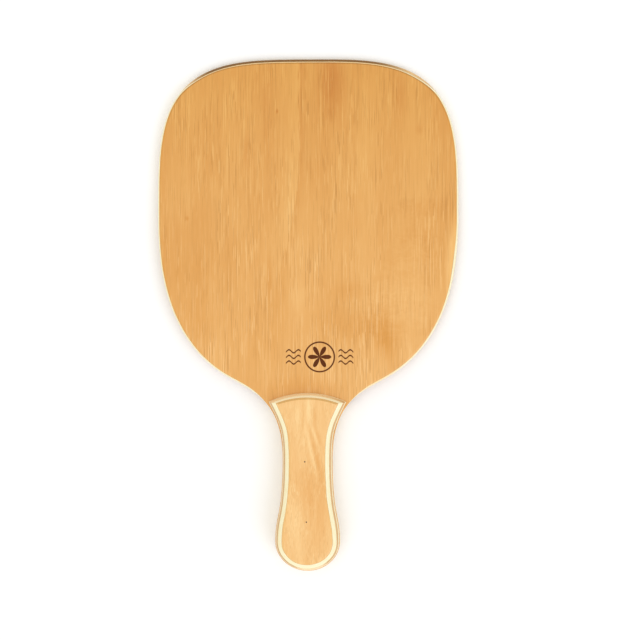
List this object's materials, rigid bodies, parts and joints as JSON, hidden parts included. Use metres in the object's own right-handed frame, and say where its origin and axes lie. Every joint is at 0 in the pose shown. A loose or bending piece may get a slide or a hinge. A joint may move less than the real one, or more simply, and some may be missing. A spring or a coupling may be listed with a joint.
{
  "type": "frescobol racket",
  "caption": "Wooden beach racket with a broad squarish plywood blade and a waisted handle of two shaped cheeks glued and pinned to its tang.",
  "frame": {"origin": "middle of the racket's outline on the plane of its back cheek's flat face, which it rests on", "axes": "+Y from the butt of the handle to the crown of the blade, +Z out of the front face, +X to the right seen from the front"},
  "size_m": [0.2364, 0.402, 0.024],
  "materials": {
    "blade_face_wood": "satin lacquered veneer",
    "cheek_face_wood": "satin lacquered veneer",
    "crossband_wood": "sanded edge, thin satin lacquer",
    "core_wood": "sanded edge, thin satin lacquer",
    "pin_steel": "dull, set below the surface"
  },
  "bodies": {
    "root": {"blade_front_veneer": "blade_face_wood", "blade_front_crossband": "crossband_wood", "blade_core": "core_wood", "blade_back_crossband": "crossband_wood", "blade_back_veneer": "blade_face_wood", "front_cheek_face_veneer": "cheek_face_wood", "front_cheek_outer_crossband": "crossband_wood", "front_cheek_core": "core_wood", "front_cheek_inner_crossband": "crossband_wood", "front_cheek_bond_veneer": "cheek_face_wood", "back_cheek_face_veneer": "cheek_face_wood", "back_cheek_outer_crossband": "crossband_wood", "back_cheek_core": "core_wood", "back_cheek_inner_crossband": "crossband_wood", "back_cheek_bond_veneer": "cheek_face_wood", "front_cheek_upper_pin": "pin_steel", "front_cheek_lower_pin": "pin_steel", "back_cheek_upper_pin": "pin_steel", "back_cheek_lower_pin": "pin_steel"}
  },
  "joints": []
}
